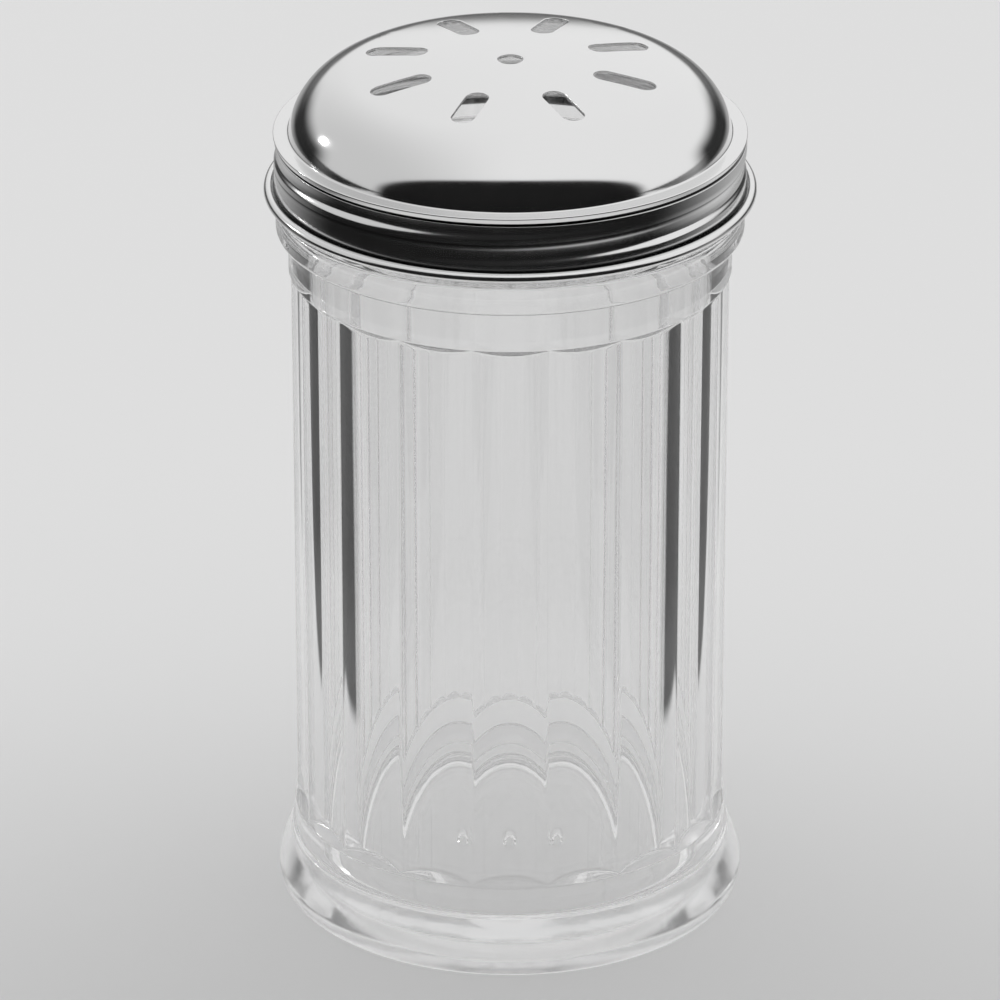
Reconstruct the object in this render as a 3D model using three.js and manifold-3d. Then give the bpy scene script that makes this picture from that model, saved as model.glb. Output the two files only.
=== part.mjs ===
// A clear fluted shaker jar with a pressed steel lid that screws on.
// Millimetres, +Z up. The origin is the middle of the face that the jar stands on.
// The lid takes its skirt, thread, ledge and curl from the neck of the jar.

import * as THREE from 'three';
import { mergeVertices } from 'three/addons/utils/BufferGeometryUtils.js';
import Module from 'manifold-3d';

// Jar wall: shallow hollow flutes between upright crests
const FLUTE_COUNT = 18;
const CREST_RADIUS = 32.5;
const FLUTE_DEPTH = 1.2; // crest radius less the radius at the middle of a flute
const FLUTE_WALL = 1.7; // the thinnest wall, behind the middle of a flute
const FLUTE_LENGTH = 87.2; // from the base band to the collar, with both run-outs
const BORE_DRAFT = 0.3; // the bore is this much wider at the mouth than at the floor

// Jar base: a rolled flange under a plain band, with a recess below the floor
const FLANGE_STEP = 2.6; // the flange at its widest stands this far outside the band
const FLANGE_HEIGHT = 9.4;
const FLANGE_WIDEST = 3.2; // height at which the flange is widest
const FLANGE_SHOULDER = 5.9; // height of the corner that the flange's curve is drawn towards
const FLANGE_SHOULDER_INSET = 0.5; // how far that corner lies inside the widest radius
const FLANGE_TOP_STEP = 0.4; // the flange starts this far outside the band
const BAND_STEP = 0.3; // the band and the collar stand this proud of the crests
const BAND_HEIGHT = 4.4;
const FOOT_INSET = 1.5; // from the widest radius in to the ring that touches the table
const FOOT_WIDTH = 3.4;
const FLOOR_HEIGHT = 6.3; // upper face of the floor
const FLOOR_FILLET = 3;
const RECESS_DEPTH = 2.2;
const RECESS_SLOPE = 3; // how far the side of the recess leans in
const GATE_RADIUS = 1.8;
const GATE_DEPTH = 0.6;

// Jar neck: collar, stop ring and threaded wall
const COLLAR_HEIGHT = 6;
const RING_STEP = 1.8; // the stop ring stands this far outside the collar
const RING_HEIGHT = 4.5;
const RING_LOWER_ROUND = 1;
const RING_UPPER_ROUND = 0.5;
const NECK_WALL = 2.3;
const NECK_HEIGHT = 10.15; // from the stop ring to the rim
const RIM_ROUND = 0.5;

// Thread, right-handed: a moulded ridge on the neck and a groove rolled into the lid
const THREAD_PITCH = 4;
const RIDGE_HEIGHT = 1.05; // how far the ridge stands out of the neck
const RIDGE_ROOT_WIDTH = 2;
const RIDGE_CREST_WIDTH = 0.9;
const RIDGE_START = 4.6; // height of the ridge's lower end above the stop ring
const RIDGE_END_GAP = 0.8; // plain neck between the ridge's upper end and the rim
const GROOVE_DEPTH = 0.45;
const GROOVE_WIDTH = 2.8;
const GROOVE_FLAT = 1; // the part of that width that is pressed to the full depth
const GROOVE_START = 1.45; // height of the groove's lower end above the lid's lower edge
const GROOVE_START_DEGREES = -171;
const GROOVE_TURNS = 1.5;
const THREAD_TAPER_TURNS = 0.1; // both threads run out over this part of a turn

// Lid: one pressing with a dome, a flat ledge with a beaded edge, a skirt and a curled edge
const SHEET = 0.5;
const THREAD_CLEARANCE = 0.3; // between the ridge's crest and the inside of the groove
const SEAT_GAP = 0.3; // between the rim and the underside of the ledge
const EDGE_GAP = 1.15; // between the stop ring and the curled edge
const CURL_RADIUS = 0.75; // outer radius of the curl's section
const CURL_STEP = 1.8; // the curl stands this far outside the skirt
const CURL_FLARE_DEGREES = 28; // how steeply the skirt flares out to the curl
const CURL_END_DEGREES = 465; // where the curl ends, counted from outwards through downwards
const BEAD_STEP = 0.35; // the ledge's edge stands this far outside the skirt
const BEAD_HEIGHT = 1.05; // the edge leans in to the skirt over this height
const DOME_STEP = 1.9; // from the skirt in to the foot of the dome
const DOME_FILLET = 0.3;
const DOME_FOOT_DEGREES = 80; // slope of the dome at its foot
const CROWN_RADIUS = 150; // radius of the nearly flat middle of the dome
const KNUCKLE_RADIUS = 11; // radius of the dome's rounded edge
const SLOT_COUNT = 8;
const SLOT_LENGTH = 9.5;
const SLOT_WIDTH = 3.5;
const SLOT_PITCH_RADIUS = 17.65; // from the axis to the middle of a slot
const SLOT_TURN_DEGREES = 25.7;
const CENTRE_HOLE_RADIUS = 1.9;

// One overrun serves every cut and every root that is buried in a wall
const OVERRUN = 0.6;

// Facets: round the axis, along a flute's hollow, and along the curves of the profiles
const JAR_FACETS = 72;
const LID_FACETS = 48;
const FLUTE_FACETS = 5;
const CROWN_FACETS = 2;
const KNUCKLE_FACETS = 6;
const SKIRT_FACETS = 9;
const CURL_FACETS = 8;
const LARGE_ROUND_FACETS = 4;
const SMALL_ROUND_FACETS = 3;
const HOLE_FACETS = 12;

// Heights and radii that follow from the sizes above
const BAND_RADIUS = CREST_RADIUS + BAND_STEP;
const FLANGE_RADIUS = BAND_RADIUS + FLANGE_STEP;
const RING_RADIUS = BAND_RADIUS + RING_STEP;
const VALLEY_RADIUS = CREST_RADIUS - FLUTE_DEPTH;
const FLOOR_BORE_RADIUS = VALLEY_RADIUS - FLUTE_WALL;
const MOUTH_RADIUS = FLOOR_BORE_RADIUS + BORE_DRAFT;
const NECK_RADIUS = MOUTH_RADIUS + NECK_WALL;
const FLUTE_BOTTOM = FLANGE_HEIGHT + BAND_HEIGHT;
const COLLAR_BOTTOM = FLUTE_BOTTOM + FLUTE_LENGTH;
const RING_BOTTOM = COLLAR_BOTTOM + COLLAR_HEIGHT;
const RING_TOP = RING_BOTTOM + RING_HEIGHT;
const RIM_HEIGHT = RING_TOP + NECK_HEIGHT;
const RIDGE_RADIUS = NECK_RADIUS + RIDGE_HEIGHT;
const SKIRT_INNER_RADIUS = RIDGE_RADIUS + THREAD_CLEARANCE + GROOVE_DEPTH;
const SKIRT_RADIUS = SKIRT_INNER_RADIUS + SHEET;
const LID_BOTTOM = RING_TOP + EDGE_GAP;
const LEDGE_HEIGHT = RIM_HEIGHT + SEAT_GAP + SHEET;
const DOME_FOOT_RADIUS = SKIRT_RADIUS - DOME_STEP;
const DOME_FOOT_SLOPE = THREE.MathUtils.degToRad(DOME_FOOT_DEGREES);
const KNUCKLE_CENTRE_RADIUS = DOME_FOOT_RADIUS - KNUCKLE_RADIUS * Math.sin(DOME_FOOT_SLOPE);
const DOME_FOOT_HEIGHT = LEDGE_HEIGHT + DOME_FILLET * (1 - Math.cos(DOME_FOOT_SLOPE));
const KNUCKLE_CENTRE_HEIGHT = DOME_FOOT_HEIGHT - KNUCKLE_RADIUS * Math.cos(DOME_FOOT_SLOPE);
const CROWN_SLOPE = Math.asin(KNUCKLE_CENTRE_RADIUS / (CROWN_RADIUS - KNUCKLE_RADIUS));
const CROWN_CENTRE_HEIGHT = KNUCKLE_CENTRE_HEIGHT - (CROWN_RADIUS - KNUCKLE_RADIUS) * Math.cos(CROWN_SLOPE);
const DOME_TOP = CROWN_CENTRE_HEIGHT + CROWN_RADIUS;
const CURL_BORE = CURL_RADIUS - SHEET;
const CURL_FLARE = THREE.MathUtils.degToRad(CURL_FLARE_DEGREES);
const CURL_CENTRE_RADIUS = SKIRT_RADIUS + CURL_STEP - CURL_RADIUS;
const CURL_CENTRE_HEIGHT = LID_BOTTOM + CURL_RADIUS;
const FLARE_STEP = CURL_CENTRE_RADIUS - CURL_BORE * Math.cos(CURL_FLARE) - SKIRT_RADIUS;
const FLARE_FOOT = CURL_CENTRE_HEIGHT - CURL_BORE * Math.sin(CURL_FLARE);
const SKIRT_BOTTOM = FLARE_FOOT + FLARE_STEP / Math.tan(CURL_FLARE);
const SKIRT_TOP = LEDGE_HEIGHT - BEAD_HEIGHT;
const SKIRT_ROW = (SKIRT_TOP - SKIRT_BOTTOM) / SKIRT_FACETS;
const GROOVE_BOTTOM = LID_BOTTOM + GROOVE_START;

const wasm = await Module();
wasm.setup();

// A point of a profile, in the half plane of radius and height
function point(radius, height) {
  return new THREE.Vector2(radius, height);
}

// Points along an elliptical arc of a profile, with its angles in degrees
function arc(centre, across, up, fromDegrees, toDegrees, facets) {
  const from = THREE.MathUtils.degToRad(fromDegrees);
  const to = THREE.MathUtils.degToRad(toDegrees);
  const clockwise = toDegrees < fromDegrees;
  return new THREE.EllipseCurve(centre.x, centre.y, across, up, from, to, clockwise).getPoints(facets);
}

function round(centre, radius, fromDegrees, toDegrees, facets) {
  return arc(centre, radius, radius, fromDegrees, toDegrees, facets);
}

// A closed geometry as a solid: shared corners merged, facets that vanish on the axis dropped
function solid(geometry) {
  const bare = geometry.clone();
  bare.deleteAttribute('normal');
  bare.deleteAttribute('uv');
  const merged = mergeVertices(bare);
  const index = merged.index.array;
  const triangles = [];
  for (let i = 0; i < index.length; i += 3) {
    const [a, b, c] = index.slice(i, i + 3);
    if (a !== b && b !== c && c !== a) triangles.push(a, b, c);
  }
  return new wasm.Manifold(new wasm.Mesh({
    numProp: 3,
    vertProperties: new Float32Array(merged.attributes.position.array),
    triVerts: new Uint32Array(triangles),
  }));
}

function geometryOf(body) {
  const mesh = body.getMesh();
  const geometry = new THREE.BufferGeometry();
  geometry.setAttribute('position', new THREE.BufferAttribute(mesh.vertProperties, 3));
  geometry.setIndex(new THREE.BufferAttribute(mesh.triVerts, 1));
  geometry.computeVertexNormals();
  return geometry;
}

// A profile of (radius, height) turned about the +Z axis
function revolve(profile, facets) {
  return new THREE.LatheGeometry(profile, facets).rotateX(Math.PI / 2);
}

// An outline in the XY plane, raised from one height to another
function raise(outline, fromHeight, toHeight) {
  const options = { depth: toHeight - fromHeight, bevelEnabled: false, curveSegments: HOLE_FACETS / 2 };
  return new THREE.ExtrudeGeometry(outline, options).translate(0, 0, fromHeight);
}

// The outline of the fluted wall: one circular hollow from each crest to the next
function fluteOutline() {
  const halfAngle = Math.PI / FLUTE_COUNT;
  const halfChord = CREST_RADIUS * Math.sin(halfAngle);
  const chordRadius = CREST_RADIUS * Math.cos(halfAngle);
  const hollow = chordRadius - VALLEY_RADIUS;
  const hollowRadius = (halfChord ** 2 + hollow ** 2) / (2 * hollow);
  const spread = Math.asin(halfChord / hollowRadius);
  const points = [];
  for (let flute = 0; flute < FLUTE_COUNT; flute += 1) {
    const middle = (2 * flute + 1) * halfAngle;
    for (let facet = 0; facet < FLUTE_FACETS; facet += 1) {
      const turn = spread * (2 * facet / FLUTE_FACETS - 1);
      const across = hollowRadius * Math.sin(turn);
      const out = VALLEY_RADIUS + hollowRadius * (1 - Math.cos(turn));
      points.push(new THREE.Vector2(
        out * Math.cos(middle) - across * Math.sin(middle),
        out * Math.sin(middle) + across * Math.cos(middle),
      ));
    }
  }
  return new THREE.Shape(points);
}

// The outside of the jar without its flutes and thread, from under the floor to the rim
function jarProfile() {
  const coreRadius = (VALLEY_RADIUS + FLOOR_BORE_RADIUS) / 2;
  const runOut = BAND_RADIUS - coreRadius;
  const footOuter = FLANGE_RADIUS - FOOT_INSET;
  const footInner = footOuter - FOOT_WIDTH;
  const gateHeight = RECESS_DEPTH + GATE_DEPTH;
  const flange = new THREE.QuadraticBezierCurve(
    point(FLANGE_RADIUS, FLANGE_WIDEST),
    point(FLANGE_RADIUS - FLANGE_SHOULDER_INSET, FLANGE_SHOULDER),
    point(BAND_RADIUS + FLANGE_TOP_STEP, FLANGE_HEIGHT),
  );
  const underRing = point(RING_RADIUS - RING_LOWER_ROUND, RING_BOTTOM + RING_LOWER_ROUND);
  const overRing = point(RING_RADIUS - RING_UPPER_ROUND, RING_TOP - RING_UPPER_ROUND);
  const rim = point(NECK_RADIUS - RIM_ROUND, RIM_HEIGHT - RIM_ROUND);
  return [
    point(0, gateHeight),
    point(GATE_RADIUS, gateHeight),
    point(GATE_RADIUS + GATE_DEPTH, RECESS_DEPTH),
    point(footInner - RECESS_SLOPE, RECESS_DEPTH),
    point(footInner, 0),
    ...arc(point(footOuter, FLANGE_WIDEST), FOOT_INSET, FLANGE_WIDEST, -90, 0, LARGE_ROUND_FACETS),
    ...flange.getPoints(LARGE_ROUND_FACETS).slice(1),
    point(BAND_RADIUS, FLANGE_HEIGHT),
    point(BAND_RADIUS, FLUTE_BOTTOM),
    point(coreRadius, FLUTE_BOTTOM + runOut),
    point(coreRadius, COLLAR_BOTTOM - runOut),
    point(BAND_RADIUS, COLLAR_BOTTOM),
    point(BAND_RADIUS, RING_BOTTOM),
    ...round(underRing, RING_LOWER_ROUND, -90, 0, SMALL_ROUND_FACETS),
    ...round(overRing, RING_UPPER_ROUND, 0, 90, SMALL_ROUND_FACETS),
    point(NECK_RADIUS, RING_TOP),
    ...round(rim, RIM_ROUND, 0, 90, SMALL_ROUND_FACETS),
    point(0, RIM_HEIGHT),
  ];
}

// The space inside the jar, from the floor up through the flared mouth
function boreProfile() {
  const floorCorner = point(FLOOR_BORE_RADIUS - FLOOR_FILLET, FLOOR_HEIGHT + FLOOR_FILLET);
  const rim = point(MOUTH_RADIUS + RIM_ROUND, RIM_HEIGHT - RIM_ROUND);
  return [
    point(0, FLOOR_HEIGHT),
    ...round(floorCorner, FLOOR_FILLET, -90, 0, LARGE_ROUND_FACETS),
    ...round(rim, RIM_ROUND, 180, 90, SMALL_ROUND_FACETS),
    point(rim.x, RIM_HEIGHT + OVERRUN),
    point(0, RIM_HEIGHT + OVERRUN),
  ];
}

// A share that rises from 0 to 1 over the run-out at each end of a thread
function threadRise(turns, allTurns) {
  return THREE.MathUtils.clamp(Math.min(turns, allTurns - turns) / THREAD_TAPER_TURNS, 0, 1);
}

// The moulded ridge, half a pitch above the lid's groove: one four-sided bar along the helix
function threadRidge() {
  const bottom = RING_TOP + RIDGE_START;
  const top = RIM_HEIGHT - RIDGE_END_GAP - RIDGE_ROOT_WIDTH / 2;
  const allTurns = (top - bottom) / THREAD_PITCH;
  const rings = Math.ceil(allTurns * JAR_FACETS);
  const positions = [];
  for (let ring = 0; ring <= rings; ring += 1) {
    const turns = allTurns * ring / rings;
    const height = bottom + THREAD_PITCH * turns;
    const turnsOfGroove = (height - GROOVE_BOTTOM) / THREAD_PITCH - 0.5;
    const angle = THREE.MathUtils.degToRad(GROOVE_START_DEGREES + 360 * turnsOfGroove);
    const root = NECK_RADIUS - OVERRUN;
    const crest = THREE.MathUtils.lerp(NECK_RADIUS - OVERRUN / 2, RIDGE_RADIUS, threadRise(turns, allTurns));
    const corners = [
      [root, -RIDGE_ROOT_WIDTH / 2],
      [crest, -RIDGE_CREST_WIDTH / 2],
      [crest, RIDGE_CREST_WIDTH / 2],
      [root, RIDGE_ROOT_WIDTH / 2],
    ];
    for (const [radius, offset] of corners) {
      positions.push(radius * Math.cos(angle), radius * Math.sin(angle), height + offset);
    }
  }
  const index = [0, 1, 2, 0, 2, 3];
  for (let ring = 0; ring < rings; ring += 1) {
    for (let corner = 0; corner < 4; corner += 1) {
      const here = 4 * ring + corner;
      const next = 4 * ring + (corner + 1) % 4;
      index.push(here, here + 4, next, next, here + 4, next + 4);
    }
  }
  const last = 4 * rings;
  index.push(last, last + 2, last + 1, last, last + 3, last + 2);
  const geometry = new THREE.BufferGeometry();
  geometry.setAttribute('position', new THREE.Float32BufferAttribute(positions, 3));
  geometry.setIndex(index);
  return geometry;
}

// The jar: the turned outside, the fluted column and the ridge, then the bore taken out
function makeJar() {
  const turned = solid(revolve(jarProfile(), JAR_FACETS));
  const fluted = solid(raise(fluteOutline(), FLUTE_BOTTOM - OVERRUN, COLLAR_BOTTOM + OVERRUN));
  const ridge = solid(threadRidge());
  const bore = solid(revolve(boreProfile(), JAR_FACETS));
  return geometryOf(turned.add(fluted).add(ridge).subtract(bore));
}

// The outer face of the sheet: dome, ledge, bead, skirt, flare and the inside of the curl
function lidOuterFace() {
  const crownEnd = 90 - THREE.MathUtils.radToDeg(CROWN_SLOPE);
  const knuckleEnd = 90 - DOME_FOOT_DEGREES;
  const crown = point(0, CROWN_CENTRE_HEIGHT);
  const knuckle = point(KNUCKLE_CENTRE_RADIUS, KNUCKLE_CENTRE_HEIGHT);
  const fillet = point(DOME_FOOT_RADIUS + DOME_FILLET * Math.sin(DOME_FOOT_SLOPE), LEDGE_HEIGHT + DOME_FILLET);
  const curl = point(CURL_CENTRE_RADIUS, CURL_CENTRE_HEIGHT);
  const skirt = [];
  for (let row = 0; row <= SKIRT_FACETS; row += 1) {
    skirt.push(point(SKIRT_RADIUS, SKIRT_TOP - SKIRT_ROW * row));
  }
  return [
    ...round(crown, CROWN_RADIUS, 90, crownEnd, CROWN_FACETS),
    ...round(knuckle, KNUCKLE_RADIUS, crownEnd, knuckleEnd, KNUCKLE_FACETS).slice(1),
    ...round(fillet, DOME_FILLET, 180 + knuckleEnd, 270, SMALL_ROUND_FACETS).slice(1),
    point(SKIRT_RADIUS + BEAD_STEP, LEDGE_HEIGHT),
    ...skirt,
    ...round(curl, CURL_BORE, 180 + CURL_FLARE_DEGREES, CURL_END_DEGREES, CURL_FACETS),
  ];
}

// The other face of the sheet: each point moved square to the face by the sheet's thickness
function lidInnerFace(outer) {
  const normalOf = (from, to) => point(to.y - from.y, from.x - to.x).normalize();
  return outer.map((here, i) => {
    const before = outer[i - 1] ?? point(-outer[1].x, outer[1].y);
    const after = outer[i + 1] ?? here.clone().multiplyScalar(2).sub(before);
    const middle = normalOf(before, here).add(normalOf(here, after)).normalize();
    return here.clone().addScaledVector(middle, SHEET / middle.dot(normalOf(here, after)));
  });
}

// How far the rolled groove presses the skirt inwards at an angle and a height
function groovePress(angle, height) {
  const fromStart = angle - THREE.MathUtils.degToRad(GROOVE_START_DEGREES);
  const firstTurns = THREE.MathUtils.euclideanModulo(fromStart / (2 * Math.PI), 1);
  let press = 0;
  for (let turns = firstTurns; turns < GROOVE_TURNS; turns += 1) {
    const fromFlat = Math.abs(height - GROOVE_BOTTOM - THREAD_PITCH * turns) - GROOVE_FLAT / 2;
    const sideShare = THREE.MathUtils.clamp(2 * fromFlat / (GROOVE_WIDTH - GROOVE_FLAT), 0, 1);
    press += GROOVE_DEPTH * threadRise(turns, GROOVE_TURNS) * Math.cos(sideShare * Math.PI / 2) ** 2;
  }
  return press;
}

// Rolls the helical groove into the rows between the skirt's ends, alike on both faces of the sheet
function rollGroove(geometry) {
  const position = geometry.attributes.position;
  for (let i = 0; i < position.count; i += 1) {
    const [x, y, height] = [position.getX(i), position.getY(i), position.getZ(i)];
    if (height < SKIRT_BOTTOM + SKIRT_ROW / 2 || height > SKIRT_TOP - SKIRT_ROW / 2) continue;
    const radius = Math.hypot(x, y);
    const share = 1 - groovePress(Math.atan2(y, x), height) / radius;
    position.setXY(i, x * share, y * share);
  }
  return geometry;
}

// A slot with round ends that runs out from the axis
function slotOutline() {
  const halfWidth = SLOT_WIDTH / 2;
  const halfRun = SLOT_LENGTH / 2 - halfWidth;
  const outline = new THREE.Shape();
  outline.absarc(SLOT_PITCH_RADIUS + halfRun, 0, halfWidth, -Math.PI / 2, Math.PI / 2);
  outline.absarc(SLOT_PITCH_RADIUS - halfRun, 0, halfWidth, Math.PI / 2, 3 * Math.PI / 2);
  return outline;
}

// The lid: the turned sheet with its groove rolled in, then the hole and the slots punched out
function makeLid() {
  const outer = lidOuterFace();
  const sheet = revolve([...lidInnerFace(outer), ...outer.toReversed()], LID_FACETS);
  const hole = new THREE.Shape().absarc(0, 0, CENTRE_HOLE_RADIUS, 0, 2 * Math.PI);
  let lid = solid(rollGroove(sheet)).subtract(solid(raise(hole, LEDGE_HEIGHT, DOME_TOP + OVERRUN)));
  for (let slot = 0; slot < SLOT_COUNT; slot += 1) {
    const turn = THREE.MathUtils.degToRad(SLOT_TURN_DEGREES + 360 * slot / SLOT_COUNT);
    const punch = raise(slotOutline(), LEDGE_HEIGHT, DOME_TOP + OVERRUN).rotateZ(turn);
    lid = lid.subtract(solid(punch));
  }
  return geometryOf(lid);
}

const clearPlastic = new THREE.MeshStandardMaterial({
  color: 0xe9eced, roughness: 0.08, metalness: 0, transparent: true, opacity: 0.35,
});
const polishedSteel = new THREE.MeshStandardMaterial({ color: 0xc9cacb, roughness: 0.15, metalness: 1 });

const shaker = new THREE.Group();

const jar = new THREE.Mesh(makeJar(), clearPlastic);
jar.name = 'jar';
shaker.add(jar);

const lid = new THREE.Mesh(makeLid(), polishedSteel);
lid.name = 'lid';
shaker.add(lid);

export default shaker;
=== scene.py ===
# A clear fluted shaker jar with its pressed steel lid, in metres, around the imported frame.
# Each section below is one thing on the set or one piece of the shaker, in the order of a set-up.

import math

import bmesh
import bpy
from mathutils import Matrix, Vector


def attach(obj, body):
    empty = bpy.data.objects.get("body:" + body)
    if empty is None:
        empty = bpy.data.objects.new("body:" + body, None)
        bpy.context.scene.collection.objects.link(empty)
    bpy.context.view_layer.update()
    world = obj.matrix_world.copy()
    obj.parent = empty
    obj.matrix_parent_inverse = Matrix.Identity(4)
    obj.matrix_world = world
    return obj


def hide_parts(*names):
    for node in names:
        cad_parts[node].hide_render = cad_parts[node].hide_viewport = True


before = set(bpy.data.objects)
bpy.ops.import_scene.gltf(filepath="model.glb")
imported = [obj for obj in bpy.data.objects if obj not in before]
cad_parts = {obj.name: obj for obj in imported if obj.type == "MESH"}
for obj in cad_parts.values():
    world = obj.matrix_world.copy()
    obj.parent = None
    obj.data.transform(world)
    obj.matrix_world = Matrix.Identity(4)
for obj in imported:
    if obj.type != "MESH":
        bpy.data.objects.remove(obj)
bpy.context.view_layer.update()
scene = bpy.context.scene
mm = 0.001

# Camera: a long lens from the front, looking down on the lid, as in the photograph.
# The jar's axis stands a little right of the middle of the picture.
camera_distance = 964 * mm
camera_height = 503.9 * mm
camera_left = 1.5 * mm
camera_pitch = math.radians(24.6)
camera_lens = 254
camera = bpy.data.objects.new("camera", bpy.data.cameras.new("camera"))
camera.data.lens = camera_lens
camera.data.sensor_width = 36
camera.location = (-camera_left, -camera_distance, camera_height)
camera.rotation_euler = (math.radians(90) - camera_pitch, 0, 0)
scene.collection.objects.link(camera)
scene.camera = camera

scene.view_settings.view_transform = "Standard"
scene.cycles.max_bounces = 64
scene.cycles.transmission_bounces = 32
scene.cycles.glossy_bounces = 32
scene.cycles.transparent_max_bounces = 16
scene.cycles.caustics_reflective = False
scene.cycles.caustics_refractive = False
scene.cycles.use_denoising = True


# Surroundings: a pale studio, greyer on the left, with a dark gap behind the camera and dark low
# corners at the back. Only rays that mirror off a piece see those; all others see one pale grey.
class Value:
    """A shader socket; an expression on it adds Math nodes to the socket's tree."""

    def __init__(self, socket):
        self.socket = socket

    def math(self, operation, other=0.0, swapped=False):
        inputs = {0: other, 1: self} if swapped else {0: self, 1: other}
        return Nodes(self.socket.id_data).add("ShaderNodeMath", {"operation": operation}, inputs)["Value"]

    def __add__(self, other):
        return self.math("ADD", other)

    __radd__ = __add__

    def __sub__(self, other):
        return self.math("SUBTRACT", other)

    def __rsub__(self, other):
        return self.math("SUBTRACT", other, swapped=True)

    def __mul__(self, other):
        return self.math("MULTIPLY", other)

    __rmul__ = __mul__

    def above(self, low, high):
        """A mask that rises smoothly from 0 at low to 1 at high."""
        settings = {"interpolation_type": "SMOOTHSTEP"}
        inputs = {"Value": self, "From Min": low, "From Max": high}
        return Nodes(self.socket.id_data).add("ShaderNodeMapRange", settings, inputs)["Result"]

    def between(self, rise, fall):
        """A mask that rises over one pair of values and falls again over another."""
        return self.above(*rise) * (1 - self.above(*fall))


class Nodes:
    """A node tree that is filled one node at a time."""

    def __init__(self, tree):
        self.tree = tree

    def add(self, kind, settings=None, inputs=None):
        node = self.tree.nodes.new(kind)
        for name, setting in (settings or {}).items():
            setattr(node, name, setting)
        for name, value in (inputs or {}).items():
            if isinstance(value, Value):
                self.tree.links.new(value.socket, node.inputs[name])
            else:
                node.inputs[name].default_value = value
        outputs = {}
        for output in node.outputs:
            if output.enabled:
                outputs.setdefault(output.name, Value(output))
        return outputs

    def mix_colour(self, share, first, second):
        settings = {"data_type": "RGBA"}
        return self.add("ShaderNodeMix", settings, {0: share, 6: first, 7: second})["Result"]

    def mix_shader(self, share, first, second):
        return self.add("ShaderNodeMixShader", None, {0: share, 1: first, 2: second})["Shader"]

    def from_axis(self, along):
        """Distance from the upright axis."""
        level = self.add("ShaderNodeCombineXYZ", None, {0: along["X"], 1: along["Y"]})["Vector"]
        return self.add("ShaderNodeVectorMath", {"operation": "LENGTH"}, {0: level})["Value"]


def empty_nodes(owner):
    """The node tree of a world or a material, without its first nodes."""
    owner.use_nodes = True
    owner.node_tree.nodes.clear()
    return Nodes(owner.node_tree)


def opaque(grey):
    return grey, grey, grey, 1


def rays(nodes):
    """What kind of ray looks: off a mirror, or out of the jar after one turn inside its wall."""
    path = nodes.add("ShaderNodeLightPath")
    turned_once = path["Is Transmission Ray"] * path["Glossy Depth"].between((0.4, 0.6), (1.4, 1.6))
    return path["Is Reflection Ray"], turned_once


studio_grey = 0.93
studio_left_share = 0.72
studio_left_edge = (-0.9, 0.1)
front_gap_grey = 0.008
front_gap_spread = 3.0
front_gap_edge = (-0.03, 0.07)
corner_grey = 0.03
corner_from = (1.8, 2.1)
corner_top = (0.02, 0.28)
back_grey = 0.16
back_from = (2.55, 2.85)
back_top = (0.07, 0.15)
ambient = 0.76

world = bpy.data.worlds.new("studio")
scene.world = world
nodes = empty_nodes(world)
ray = nodes.add("ShaderNodeTexCoord")["Generated"]
along = nodes.add("ShaderNodeSeparateXYZ", None, {0: ray})
forward = 0 - along["Y"]
across = along["X"] * (1 / front_gap_spread)
front_gap = (forward * forward - across * across - along["Z"] * along["Z"]).above(*front_gap_edge)
front_gap = front_gap * forward.above(0, 0.1)
around = along["X"].math("ABSOLUTE").math("ARCTAN2", forward)
corner = around.between(corner_from, back_from) * (1 - along["Z"].above(*corner_top))
back = around.above(*back_from) * (1 - along["Z"].above(*back_top))
left_side = 1 - along["X"].above(*studio_left_edge)
grey = studio_grey * (1 - (1 - studio_left_share) * left_side)
grey = grey * (1 - corner - back) + corner_grey * corner + back_grey * back
grey = grey * (1 - front_gap) + front_gap_grey * front_gap
reflected, turned_once = rays(nodes)
strength = grey * reflected + ambient * (1 - reflected)
background = nodes.add("ShaderNodeBackground", None, {"Color": opaque(1), "Strength": strength})
nodes.add("ShaderNodeOutputWorld", None, {"Surface": background["Background"]})


# Floor: a wide sheet of matt white paper, whose colour is painted darker towards the camera, as painted
# shade where the light leaves it.
# Mirrored in a piece, its colour is a painted reflection: its front is as dark as the gap above it and its
# far corners as those behind.
floor_half_width = 4
floor_grey = 0.80
floor_front_grey = 0.60
floor_dims = (-0.10, 0.10)
gap_starts = (0.12, 0.17)
gap_left = (-2.7, -1.6)
gap_right = (1.2, 2.4)
near_grey = 0.85
far_drop = 0.35
far_drops = (0.18, 0.28)
far_lift = 0.3
far_lifts = (0.6, 1.5)
floor_corner_share = 0.95
floor_corner_starts = (0.35, 0.9)
floor_back_share = 0.8
floor_back_starts = (0.2, 1.6)
# Painted dark stripes: the floor beyond these sides, seen out of the jar after one turn in its wall, is
# painted this dark grey.
painted_stripe_grey = 0.07
painted_stripe_edge = (0.09, 0.10)
bm = bmesh.new()
bmesh.ops.create_grid(bm, x_segments=1, y_segments=1, size=floor_half_width)
floor = bpy.data.objects.new("floor", bpy.data.meshes.new("floor"))
bm.to_mesh(floor.data)
bm.free()
scene.collection.objects.link(floor)

paper = bpy.data.materials.new("paper")
nodes = empty_nodes(paper)
place = nodes.add("ShaderNodeTexCoord")["Object"]
along = nodes.add("ShaderNodeSeparateXYZ", None, {0: place})
# Painted shade: the paper's colour falls from floor_grey to floor_front_grey towards the camera.
paper_colour_with_painted_shade = nodes.mix_colour(along["Y"].above(*floor_dims), opaque(floor_front_grey), opaque(floor_grey))
away = nodes.add("ShaderNodeVectorMath", {"operation": "LENGTH"}, {0: place})["Value"]
aside = along["X"].math("ARCTAN2", 0 - along["Y"])
in_gap = away.above(*gap_starts) * aside.between(gap_left, gap_right)
around = aside.math("ABSOLUTE")
corner = around.between(corner_from, back_from) * away.above(*floor_corner_starts)
back = around.above(*back_from) * away.above(*floor_back_starts)
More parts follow.
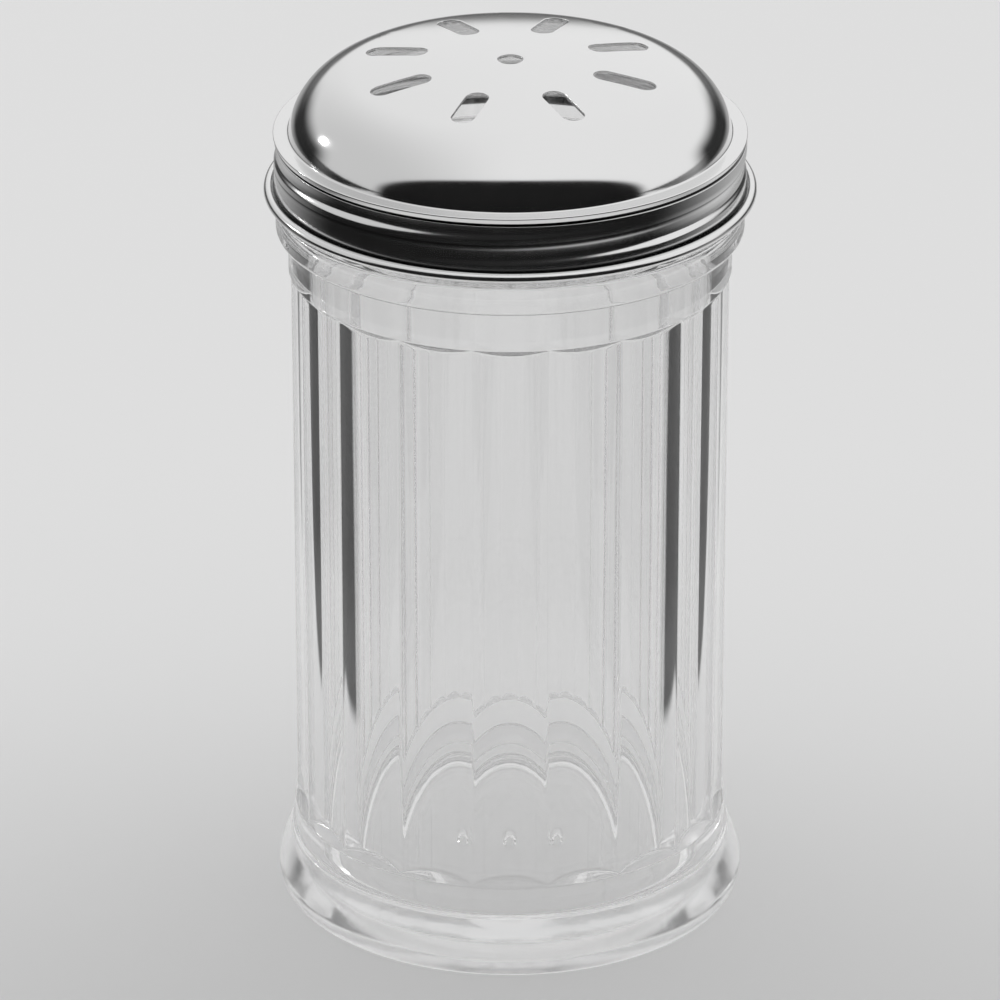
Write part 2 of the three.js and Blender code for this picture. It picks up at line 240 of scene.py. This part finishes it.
# Painted reflection: the floor's grey for rays that mirror off a piece, darker further off, at the far
# corners and behind.
mirrored_grey = near_grey - far_drop * away.above(*far_drops) + far_lift * away.above(*far_lifts)
mirrored_grey = mirrored_grey * (1 - floor_corner_share * corner - floor_back_share * back)
# Painted dark stripes: a mask of the floor's sides, which paints dark stripes into the jar's flutes.
painted_stripe_mask = along["X"].math("ABSOLUTE").above(*painted_stripe_edge)
reflected, turned_once = rays(nodes)
shown = nodes.add("ShaderNodeBsdfDiffuse", None, {"Color": paper_colour_with_painted_shade})["BSDF"]
# Painted reflection: mirrored rays see mirrored_grey, and in front a grey as dark as the gap. Rays out of
# the jar after one turn see the floor's sides painted dark.
for share, colour in (
    (reflected, mirrored_grey),
    (in_gap * reflected, opaque(front_gap_grey)),
    (painted_stripe_mask * turned_once, opaque(painted_stripe_grey)),
):
    matt = nodes.add("ShaderNodeBsdfDiffuse", None, {"Color": colour})["BSDF"]
    shown = nodes.mix_shader(share, shown, matt)
nodes.add("ShaderNodeOutputMaterial", None, {"Surface": shown})
floor.data.materials.append(paper)


# Lamps: one broad soft lamp overhead, and a small one low on the left behind the jar.
# The small one makes the bright spot on the left of the dome.
def lamp(name, place, aim, size, power):
    data = bpy.data.lights.new(name, "AREA")
    data.shape = "RECTANGLE"
    data.size, data.size_y = size
    data.energy = power
    holder = bpy.data.objects.new(name, data)
    holder.location = place
    holder.rotation_euler = (Vector(aim) - Vector(place)).to_track_quat("-Z", "Y").to_euler()
    scene.collection.objects.link(holder)
    return holder


overhead_lamp = lamp("overhead_lamp", place=(0.1, 0.35, 1.5), aim=(0, 0.05, 0), size=(1.3, 1.3), power=4.0)
overhead_lamp.visible_glossy = False
overhead_lamp.visible_transmission = False
lamp("spot_lamp", place=(-1.344, 0.676, 0.495), aim=(0, 0, 0.126), size=(0.10, 0.14), power=0.9)


# Jar: one clear polycarbonate moulding, with hollow flutes in its wall that run out into a band
# above the flanged foot and into a collar below the stop ring; its neck has a right-hand ridge.
def arc(centre_radius, centre_height, radius, start, end, steps):
    """Points (radius, height) along an arc, angles in degrees."""
    points = []
    for step in range(steps + 1):
        angle = math.radians(start + (end - start) * step / steps)
        points.append((centre_radius + radius * math.cos(angle), centre_height + radius * math.sin(angle)))
    return points


def straight(start, end, steps):
    """Points between two points, without the two ends."""
    shares = [step / steps for step in range(1, steps)]
    return [(start[0] + (end[0] - start[0]) * s, start[1] + (end[1] - start[1]) * s) for s in shares]


def bent(start, pull, end, steps):
    """Points along a curve between two points, which a third pulls aside."""
    points = []
    for step in range(steps + 1):
        share = step / steps
        rest = 1 - share
        corners = zip(start, pull, end)
        points.append([rest * rest * a + 2 * rest * share * b + share * share * c for a, b, c in corners])
    return points


def blended_max(first, second, reach):
    """The larger of two sizes, eased over a reach where they are nearly alike."""
    near = max(reach - abs(first - second), 0) / reach
    return max(first, second) + near * near * reach / 4


def piece_from(bm, name, body):
    """A finished piece from a mesh that was modelled in millimetres."""
    bmesh.ops.scale(bm, vec=(mm, mm, mm), verts=bm.verts)
    for face in bm.faces:
        face.smooth = True
    mesh = bpy.data.meshes.new(name)
    bm.to_mesh(mesh)
    bm.free()
    piece = bpy.data.objects.new(name, mesh)
    scene.collection.objects.link(piece)
    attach(piece, body)
    return piece


def spun(outline, columns):
    """A closed skin: an outline of (radius, height) spun once about the upright axis."""
    bm = bmesh.new()
    chain = [bm.verts.new((radius, 0, height)) for radius, height in outline]
    edges = [bm.edges.new(pair) for pair in zip(chain, chain[1:])]
    bmesh.ops.spin(
        bm, geom=chain + edges, cent=(0, 0, 0), axis=(0, 0, 1), dvec=(0, 0, 0),
        angle=2 * math.pi, steps=columns, use_merge=True,
    )
    bmesh.ops.remove_doubles(bm, verts=bm.verts, dist=1e-4)
    bmesh.ops.recalc_face_normals(bm, faces=bm.faces)
    return bm


flute_count = 18
flute_columns = 20
column_gather = 0.8
crest_radius = 32.5
valley_radius = 31.3
crest_blend = 0.25
run_out_blend = 0.25
run_out_row = 0.13
run_out_rows = (13.4, 98.8)
wall_rows = (16.2, 98.6)
edge_room = 0.5
band_radius = 32.8
band_rows = (11.5, 13.2)
band_fillet = 0.12
flange_radius = 35.4
flange_height = 9.4
flange_top_edge = 0.4
flange_pull = (0.5, 5.9)
flange_widest = 3.2
foot_round = 1.5
foot_flat = 30.7
foot_inner_round = 0.5
recess_height = 2.2
recess_radius = 26.5
recess_round = 1.0
gate_top = 1.5
gate_foot = 2.6
gate_round = 0.3
floor_height = 6.3
floor_fillet = 3.0
flute_bottom = 13.8
collar_bottom = 101.0
collar_row = 103.5
ring_bottom = 107.0
ring_top = 111.5
ring_radius = 34.6
ring_fillet = 0.3
ring_foot_round = 1.0
ring_top_round = 0.5
rim_height = 121.65
rim_round = 0.5
neck_radius = 32.2
neck_fillet = 0.4
neck_rows = 112.2
neck_row = 0.25
mouth_radius = 29.9
bore_radius = 29.6
thread_pitch = 4.0
groove_bottom = 114.1
groove_start = math.radians(-280)
ridge_bottom = 116.1
ridge_top = 120.1
ridge_height = 1.05
ridge_width = 2.0
ridge_run_in = 0.1
ridge_flank = 1.8

foot_curve = [
    (flange_radius - foot_round + foot_round * cosine, flange_widest + flange_widest * sine)
    for cosine, sine in arc(0, 0, 1, -90, 0, 12)
]
flange_curve = bent(
    (flange_radius, flange_widest),
    (flange_radius - flange_pull[0], flange_pull[1]),
    (band_radius + flange_top_edge, flange_height),
    12,
)
jar_outline = [
    (0, recess_height + 2 * gate_round),
    (0.6 * gate_top, recess_height + 2 * gate_round),
    *arc(gate_top, recess_height + gate_round, gate_round, 90, 30, 3),
    *arc(gate_foot, recess_height + gate_round, gate_round, 210, 270, 3),
    *straight((gate_foot, recess_height), (recess_radius, recess_height), 6),
    *arc(recess_radius, recess_height - recess_round, recess_round, 90, 45, 4),
    *arc(foot_flat, foot_inner_round, foot_inner_round, 225, 270, 3),
    *straight((foot_flat, 0), foot_curve[0], 4),
    *foot_curve,
    *flange_curve[1:],
    *arc(band_radius + band_fillet, flange_height + band_fillet, band_fillet, 270, 180, 3),
    *[(band_radius, height) for height in band_rows],
    *[(band_radius, run_out_rows[0] + run_out_row * step) for step in range(21)],
    *[(band_radius, wall_rows[0] + (wall_rows[1] - wall_rows[0]) * step / 8) for step in range(9)],
    *[(band_radius, run_out_rows[1] + run_out_row * step) for step in range(22)],
    (band_radius, collar_row),
    (band_radius, ring_bottom - edge_room),
    *arc(band_radius + ring_fillet, ring_bottom - ring_fillet, ring_fillet, 180, 90, 3),
    *arc(ring_radius - ring_foot_round, ring_bottom + ring_foot_round, ring_foot_round, -90, 0, 7),
    *straight((ring_radius, ring_bottom + ring_foot_round), (ring_radius, ring_top - ring_top_round), 3),
    *arc(ring_radius - ring_top_round, ring_top - ring_top_round, ring_top_round, 0, 90, 5),
    *arc(neck_radius + neck_fillet, ring_top + neck_fillet, neck_fillet, 270, 180, 4),
    *[(neck_radius, neck_rows + neck_row * step) for step in range(36)],
    *arc(neck_radius - rim_round, rim_height - rim_round, rim_round, 0, 90, 6),
    *straight((neck_radius - rim_round, rim_height), (mouth_radius + rim_round, rim_height), 2),
    *arc(mouth_radius + rim_round, rim_height - rim_round, rim_round, 90, 180, 6),
    *straight((mouth_radius, rim_height - rim_round), (bore_radius, floor_height + floor_fillet), 8),
    *arc(bore_radius - floor_fillet, floor_height + floor_fillet, floor_fillet, 0, -90, 12),
    *straight((bore_radius - floor_fillet, floor_height), (0, floor_height), 8),
    (0, floor_height),
]

half_flute = math.pi / flute_count
flute_sagitta = crest_radius * math.cos(half_flute) - valley_radius
flute_curve = ((crest_radius * math.sin(half_flute)) ** 2 + flute_sagitta ** 2) / (2 * flute_sagitta)
flute_centre = valley_radius + flute_curve


def hollow(turn):
    """Radius of a flute's hollow at an angle from its middle."""
    aside = flute_centre * math.sin(turn)
    return flute_centre * math.cos(turn) - math.sqrt(flute_curve ** 2 - aside ** 2)


def fluted_wall(angle, height):
    """Radius of the wall: the hollows, with eased crests, run out into the band and the collar."""
    turn = (angle / half_flute / 2) % 1 * 2 * half_flute - half_flute
    beside = turn - math.copysign(2 * half_flute, turn)
    wall = -blended_max(-hollow(turn), -hollow(beside), crest_blend)
    chamfer = band_radius - min(height - flute_bottom, collar_bottom - height)
    return min(blended_max(wall, chamfer, run_out_blend), band_radius)


def ridge(angle, height):
    """How far the neck's ridge stands out at an angle and a height."""
    turns = (ridge_top - ridge_bottom) / thread_pitch
    start = (ridge_bottom - groove_bottom) / thread_pitch - 0.5
    along_turns = ((angle - groove_start) / (2 * math.pi) - start) % 1
    out = 0
    while along_turns <= turns:
        away = abs(height - ridge_bottom - thread_pitch * along_turns) / (ridge_width / 2)
        rise = min(1, along_turns / ridge_run_in, (turns - along_turns) / ridge_run_in)
        out = max(out, ridge_height * max(rise, 0) * min(1, max(0, 1 - away) * ridge_flank))
        along_turns += 1
    return out


bm = spun(jar_outline, flute_count * flute_columns)
for vertex in bm.verts:
    x, y, height = vertex.co
    radius = math.hypot(x, y)
    if radius < 1e-3:
        continue
    angle = math.atan2(y, x)
    angle -= column_gather * math.sin(flute_count * angle) / flute_count
    if flute_bottom - edge_room < height < collar_bottom + edge_room and radius > valley_radius:
        radius = fluted_wall(angle, height)
    elif ring_top + edge_room < height < rim_height - rim_round and radius > valley_radius:
        radius += ridge(angle, height)
    vertex.co = (radius * math.cos(angle), radius * math.sin(angle), height)
jar = piece_from(bm, "clear_jar", "jar")
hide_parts("jar")

plastic_grey = 0.97
plastic_index = 1.57
plastic_roughness = 0.01
smudge_roughness = 0.02
flange_roughness = 0.14
shade_grey = 0.98
ripple_strength = 0.04
ripple_depth = 0.0004
clear_plastic = bpy.data.materials.new("clear_plastic")
nodes = empty_nodes(clear_plastic)
place = nodes.add("ShaderNodeTexCoord")["Object"]
drawn = nodes.add("ShaderNodeMapping", None, {"Vector": place, "Scale": (1, 1, 0.06)})["Vector"]
streaks = nodes.add("ShaderNodeTexNoise", None, {"Vector": drawn, "Scale": 260, "Detail": 2})["Fac"]
smudges = nodes.add("ShaderNodeTexNoise", None, {"Vector": place, "Scale": 90, "Detail": 4})["Fac"]
ripple = {"Strength": ripple_strength, "Distance": ripple_depth, "Height": streaks}
along = nodes.add("ShaderNodeSeparateXYZ", None, {0: place})
beyond_bore = nodes.from_axis(along).above((foot_flat - 0.7) * mm, (foot_flat - 0.1) * mm)
on_flange = beyond_bore * (1 - along["Z"].above((flange_height - 0.6) * mm, flange_height * mm))
smudged = smudges.above(0.5, 0.75)
body = nodes.add("ShaderNodeBsdfPrincipled", None, {
    "Base Color": opaque(plastic_grey),
    "Roughness": plastic_roughness + smudge_roughness * smudged + flange_roughness * on_flange,
    "IOR": plastic_index,
    "Transmission Weight": 1.0,
    "Normal": nodes.add("ShaderNodeBump", None, ripple)["Normal"],
})["BSDF"]
shade = nodes.add("ShaderNodeBsdfTransparent", None, {"Color": opaque(shade_grey)})["BSDF"]
path = nodes.add("ShaderNodeLightPath")
shown = nodes.mix_shader(path["Is Diffuse Ray"], body, shade)
shown = nodes.mix_shader(path["Is Shadow Ray"], shown, shade)
nodes.add("ShaderNodeOutputMaterial", None, {"Surface": shown})
jar.data.materials.append(clear_plastic)


# Lid: one pressing of stainless sheet, with a slotted dome, a shoulder bead, a skirt with the
# thread rolled into it and an edge curled outwards. It is polished above and drawn round below,
# with painted shade in its colour under the bead, over the curl and beside the thread.
sheet = 0.5
skirt_radius = 34.78
ledge_height = 122.38
bead_radius = 34.85
bead_edge = 0.12
bead_lean = 0.22
bead_bottom = 121.56
crease_radius = 34.3
crease_height = 121.4
crown_radius = 150.0
knuckle_radius = 11.0
foot_radius = 32.6
foot_slope = math.radians(80)
foot_fillet = 0.3
curl_radius = 0.75
curl_start = 208
curl_end = 480
curl_centre_radius = 35.55
curl_centre_height = 113.55
skirt_top = 121.2
skirt_bottom = 114.3
skirt_bend = ((0.02, 0.18), (0.08, 0.36), (0.18, 0.52), (0.30, 0.66))
groove_turns = 1.8
groove_depth = 0.42
groove_lip = -1.15
groove_valley = (-0.2, 0.2)
groove_shoulder = 2.85
groove_swell = (0.38, 0.62)
groove_fade = (1.43, 1.64)
bead_line = 0.022
bead_line_foot = (1.15, 1.6)
bead_line_head = (1.75, 2.0)
bead_line_ends = ((116.4, 116.9), (118.9, 119.4))
slot_count = 8
slot_length = 9.5
slot_width = 3.5
slot_middle = 17.65
slot_turn = math.radians(25.7)
hole_radius = 1.9
sector_inner = 8.0
sector_outer = 26.5
arc_columns = 32
side_columns = 26
slot_rings = 9
slot_ring_gather = 1.5
centre_rings = 8
edge_width = 0.09
crown_turn = math.asin(
    (foot_radius - knuckle_radius * math.sin(foot_slope)) / (crown_radius - knuckle_radius)
)
crown_edge = crown_radius * math.sin(crown_turn)
foot_height = ledge_height + foot_fillet * (1 - math.cos(foot_slope))
crown_foot = foot_height + knuckle_radius * (math.cos(crown_turn) - math.cos(foot_slope))


def knuckle(slope):
    """A point of the dome's knuckle where its surface slopes down by an angle."""
    radius = crown_edge + knuckle_radius * (math.sin(slope) - math.sin(crown_turn))
    return radius, crown_foot - knuckle_radius * (math.cos(crown_turn) - math.cos(slope))


def dome_top(radius):
    """Height of the outside of the dome at a radius."""
    if radius <= crown_edge:
        turn = math.asin(radius / crown_radius)
        return crown_foot + crown_radius * (math.cos(turn) - math.cos(crown_turn))
    return knuckle(math.asin(math.sin(crown_turn) + (radius - crown_edge) / knuckle_radius))[1]


def eased(value, low, high):
    """A share that rises smoothly from 0 at low to 1 at high."""
    share = min(1, max(0, (value - low) / (high - low)))
    return share * share * (3 - 2 * share)


def press(angle, height):
    """How far the skirt is pressed in by the groove, less a faint bead line that stands out."""
    depth = 0
    along_turns = ((angle - groove_start) / (2 * math.pi)) % 1
    while along_turns < groove_turns:
        up = height - groove_bottom - thread_pitch * along_turns
        slope = min(1, max(0, (up - groove_valley[1]) / (groove_shoulder - groove_valley[1])))
        rising = (slope + eased(slope, 0, 1)) / 2
        cut = eased(up, groove_lip, groove_valley[0]) * (1 - rising)
        cut *= eased(along_turns, *groove_swell) * (1 - eased(along_turns, *groove_fade))
        line = eased(up, *bead_line_foot) * (1 - eased(up, *bead_line_head))
        line *= eased(height, *bead_line_ends[0]) * (1 - eased(height, *bead_line_ends[1]))
        depth += groove_depth * cut - bead_line * line
        along_turns += 1
    return depth * (1 - eased(height, skirt_top, crease_height))


def on_dome(radius, angle):
    return Vector((radius * math.cos(angle), radius * math.sin(angle), dome_top(radius)))


def grid_patch(bm, columns, rows, place):
    """Adds a grid of faces whose corners are placed by their shares across and up."""
    made = bmesh.ops.create_grid(bm, x_segments=columns, y_segments=rows, size=1)["verts"]
    for vertex in made:
        vertex.co = place((vertex.co.x + 1) / 2, (vertex.co.y + 1) / 2)


def slot_point(share):
    """A point of the slot's outline, counted like the sector's outline: out side, far end, back."""
    half_width = slot_width / 2
    half_run = slot_length / 2 - half_width
    side_share = side_columns / (2 * (side_columns + arc_columns))
    arc_share = 0.5 - side_share
    corner = share % 0.5
    end = 1 if share % 1 < 0.5 else -1
    if corner < side_share:
        along_side = corner / side_share
        return slot_middle + end * (2 * along_side - 1) * half_run, -end * half_width
    turn = (corner - side_share) / arc_share * math.pi - math.pi / 2
    run = half_run + half_width * math.cos(turn)
    return slot_middle + end * run, end * half_width * math.sin(turn)


def sector_point(share):
    """A point of the sector's outline: out one side, round the far arc, back, round the near arc."""
    half_angle = math.pi / slot_count
    side_share = side_columns / (2 * (side_columns + arc_columns))
    arc_share = 0.5 - side_share
    corner = share % 0.5
    far = share % 1 < 0.5
    if corner < side_share:
        along_side = corner / side_share
        radius = sector_inner + (sector_outer - sector_inner) * (along_side if far else 1 - along_side)
        angle = -half_angle if far else half_angle
    else:
        along_arc = (corner - side_share) / arc_share
        radius = sector_outer if far else sector_inner
        angle = half_angle * (2 * along_arc - 1) * (1 if far else -1)
    return radius * math.cos(angle), radius * math.sin(angle)


def slot_sector(turn):
    """Places the grid between one slot and its sector's outline."""
    def place(share_round, share_out):
        near = Vector(slot_point(share_round))
        far = Vector(sector_point(share_round))
        spot = near.lerp(far, share_out ** slot_ring_gather)
        return on_dome(spot.length, math.atan2(spot.y, spot.x) + turn)
    return place


start_slope = math.asin(math.sin(crown_turn) + (sector_outer - crown_edge) / knuckle_radius)
curl_bore = arc(curl_centre_radius, curl_centre_height, curl_radius - sheet, curl_start, curl_end, 22)
lid_outline = [
    *[knuckle(start_slope + (foot_slope - start_slope) * step / 24) for step in range(25)],
    *arc(
        foot_radius + foot_fillet * math.sin(foot_slope), ledge_height + foot_fillet, foot_fillet,
        190, 270, 6,
    )[1:],
    *straight((foot_radius + foot_fillet, ledge_height), (bead_radius - bead_edge, ledge_height), 4),
    *arc(bead_radius - bead_edge, ledge_height - bead_edge, bead_edge, 90, -16, 7),
    *straight(
        (bead_radius - 0.01, ledge_height - bead_edge - 0.06), (bead_radius - bead_lean, bead_bottom), 5,
    ),
    (bead_radius - bead_lean, bead_bottom),
    (bead_radius - bead_lean - 0.04, bead_bottom - 0.05),
    (crease_radius + 0.08, bead_bottom - 0.08),
    (crease_radius, crease_height),
    (crease_radius + 0.01, crease_height - 0.12),
    (crease_radius + 0.10, crease_height - 0.20),
    *straight((skirt_radius, skirt_top), (skirt_radius, skirt_bottom), 44),
    (skirt_radius, skirt_bottom),
    *[(skirt_radius + out, skirt_bottom - down) for out, down in skirt_bend[:3]],
    *straight((skirt_radius + skirt_bend[3][0], skirt_bottom - skirt_bend[3][1]), curl_bore[0], 4),
    *curl_bore,
]

bm = bmesh.new()
grid_patch(
    bm, slot_count * arc_columns, centre_rings,
    lambda share_round, share_out: on_dome(
        hole_radius + (sector_inner - hole_radius) * share_out,
        slot_turn + math.pi / slot_count + 2 * math.pi * share_round,
    ),
)
for slot in range(slot_count):
    grid_patch(
        bm, 2 * (side_columns + arc_columns), slot_rings,
        slot_sector(slot_turn + 2 * math.pi * slot / slot_count),
    )


def below_slots(share_round, share_down):
    """A point of the lid outside the slots' sectors, with the groove pressed into the skirt."""
    radius, height = lid_outline[round(share_down * (len(lid_outline) - 1))]
    angle = slot_turn + math.pi / slot_count + 2 * math.pi * share_round
    radius -= press(angle, height)
    return Vector((radius * math.cos(angle), radius * math.sin(angle), height))


grid_patch(bm, slot_count * arc_columns, len(lid_outline) - 1, below_slots)
bmesh.ops.remove_doubles(bm, verts=bm.verts, dist=0.02)
bmesh.ops.recalc_face_normals(bm, faces=bm.faces)
lid = piece_from(bm, "steel_lid", "lid")
wall = lid.modifiers.new("wall", "SOLIDIFY")
wall.thickness = sheet * mm
wall.offset = -1
wall.use_even_offset = True
edge = lid.modifiers.new("edge", "BEVEL")
edge.width = edge_width * mm
edge.segments = 2
edge.limit_method = "ANGLE"
edge.angle_limit = math.radians(50)
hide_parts("lid")

steel_grey = 0.80
# Painted shade: the dark grey painted into the crease under the bead, the gap over the curl and beside the
# thread.
painted_shade_grey = 0.06
thread_shade_share = 0.75
dome_roughness = 0.08
scuff_roughness = 0.05
skirt_roughness = 0.04
drawn_roughness = 0.08
stainless = bpy.data.materials.new("stainless")
nodes = empty_nodes(stainless)
place = nodes.add("ShaderNodeTexCoord")["Object"]
along = nodes.add("ShaderNodeSeparateXYZ", None, {0: place})
height = along["Z"] * (1 / mm)
skirt = 1 - height.above(bead_bottom - 0.3, bead_bottom + 0.1)
turn = along["Y"].math("ARCTAN2", along["X"])
unrolled = nodes.add("ShaderNodeCombineXYZ", None, {0: turn, 1: along["Z"] * 4.0})["Vector"]
drawn = nodes.add("ShaderNodeTexNoise", None, {"Vector": unrolled, "Scale": 180, "Detail": 3})["Fac"]
scuffs = nodes.add("ShaderNodeTexNoise", None, {"Vector": place, "Scale": 400, "Detail": 6})["Fac"]
# Painted shade: masks that darken the base colour in the crease under the bead, in the gap over the curl
# and along the thread, where shade falls.
on_skirt = (nodes.from_axis(along) * (1 / mm)).between((34.1, 34.2), (34.85, 34.95))
helix = turn * (1 / (2 * math.pi)) - height * (1 / thread_pitch)
line_turn = (groove_bottom + bead_line_head[1]) / thread_pitch - groove_start / (2 * math.pi)
from_line = ((helix + line_turn + 0.5).math("FRACT") - 0.5) * thread_pitch
thread_shade = 1 - from_line.math("ABSOLUTE").above(0.04, 0.22)
thread_shade = thread_shade * height.between((116.6, 117.2), (118.6, 119.2))
crease_shade = height.between((121.04, 121.14), (121.50, 121.56))
curl_gap_shade = 1 - height.above(114.5, 114.9)
painted_shade = on_skirt * crease_shade.math("MAXIMUM", curl_gap_shade)
painted_shade = painted_shade.math("MAXIMUM", thread_shade_share * thread_shade)
body = nodes.add("ShaderNodeBsdfPrincipled", None, {
    "Base Color": nodes.mix_colour(painted_shade, opaque(steel_grey), opaque(painted_shade_grey)),
    "Metallic": 1.0,
    "Roughness": dome_roughness + scuff_roughness * scuffs
    + skirt * (skirt_roughness + drawn_roughness * drawn),
})["BSDF"]
nodes.add("ShaderNodeOutputMaterial", None, {"Surface": body})
lid.data.materials.append(stainless)
